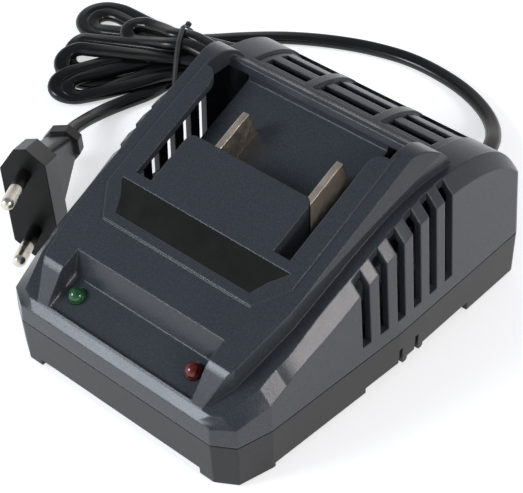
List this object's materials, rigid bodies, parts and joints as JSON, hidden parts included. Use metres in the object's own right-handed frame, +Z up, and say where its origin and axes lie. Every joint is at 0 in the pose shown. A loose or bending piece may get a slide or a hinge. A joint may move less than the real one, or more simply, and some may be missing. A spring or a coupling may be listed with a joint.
{
  "type": "power tool battery charger",
  "caption": "Slide-on power tool battery charger: vented two-part housing, battery dock with contact blades, indicator lamps, and a mains cord with a flat two-pin plug.",
  "frame": {"origin": "middle of the charger's footprint, on the surface that its feet stand on", "axes": "+Y from the indicator scoop at the front to the cord's outlet at the rear, +X to the right seen from the front, +Z up"},
  "size_m": [0.1931, 0.1783, 0.0616],
  "materials": {
    "housing": "fine spark texture",
    "housing_base": "fine spark texture",
    "label": "satin",
    "rubber": "matte",
    "steel": "satin",
    "blade": "satin nickel plate",
    "block": "matte",
    "green_lens": "clear gloss",
    "red_lens": "clear gloss",
    "board": "satin",
    "ferrite": "matte",
    "bobbin": "satin",
    "copper": "enamelled",
    "can_sleeve": "gloss",
    "film_case": "satin",
    "chip": "matte",
    "aluminium": "satin",
    "fuse_glass": "clear",
    "resistor": "satin",
    "red_wire": "satin",
    "core_wire": "satin",
    "cord": "satin",
    "plug": "satin",
    "pin": "satin nickel plate",
    "tie": "matte"
  },
  "bodies": {
    "root": {"upper_housing": "housing", "lower_housing": "housing_base", "label_plate": "label", "rubber_feet": "rubber", "housing_screws": "steel", "terminal_block": "block", "led_green": "green_lens", "led_red": "red_lens", "led_leads": "steel", "circuit_board": "board", "board_screws": "steel", "output_wires": "red_wire", "strain_relief": "cord", "inner_cord": "cord", "cord_clamp": "block", "clamp_screws": "steel", "mains_wires": "core_wire", "cord_run": "cord", "cord_hank": "cord", "cord_tie": "tie", "cord_tail": "cord", "plug_body": "plug", "plug_pin_bridge": "bobbin", "plug_pins": "pin", "plug_pin_sleeves": "plug", "contact_blade_left": "blade", "contact_blade_right": "blade", "transformer_core": "ferrite", "transformer_bobbin": "bobbin", "transformer_winding": "copper", "input_capacitor": "can_sleeve", "output_capacitors": "can_sleeve", "film_capacitor": "film_case", "bridge_rectifier": "chip", "controller_chip": "chip", "optocoupler": "chip", "interference_choke": "copper", "heat_sink": "aluminium", "power_transistor": "chip", "output_rectifier": "chip", "mains_fuse": "fuse_glass", "resistors": "resistor"}
  },
  "joints": []
}
